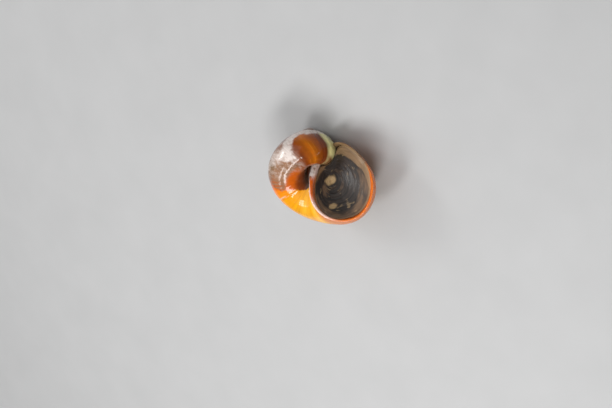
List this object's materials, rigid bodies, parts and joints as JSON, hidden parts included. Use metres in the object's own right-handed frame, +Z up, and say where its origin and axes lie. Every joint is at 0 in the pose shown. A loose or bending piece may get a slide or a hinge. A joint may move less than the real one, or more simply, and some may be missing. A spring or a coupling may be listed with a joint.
{
  "type": "apple snail",
  "caption": "Life-size apple snail drawn into its coiled shell, the mouth shut by its ringed operculum, lying on the back of the shell with the mouth up.",
  "frame": {"origin": "on the floor, under the middle of the snail's bounding box", "axes": "+Z up; the shell's mouth looks up and towards -Y, and the spire points towards +X"},
  "size_m": [0.0446, 0.0486, 0.0302],
  "materials": {
    "new_growth": "wet and glossy, golden orange, with fine growth lines",
    "old_growth": "wet and glossy, olive to red brown, with growth lines",
    "spire": "brown, worn paler",
    "apex": "worn to a dull pinkish white",
    "outer_lip": "glossy orange edge",
    "columellar_lip": "glossy pinkish white",
    "operculum": "wet horn, blackish brown, with raised growth rings",
    "foot": "wet dark flesh"
  },
  "bodies": {
    "root": {"shell_new_growth": "new_growth", "shell_body_whorl": "old_growth", "shell_penultimate_whorl": "old_growth", "shell_spire_whorl": "spire", "shell_apex": "apex", "shell_outer_lip": "outer_lip", "shell_columellar_lip": "columellar_lip", "operculum": "operculum", "foot": "foot"}
  },
  "joints": []
}
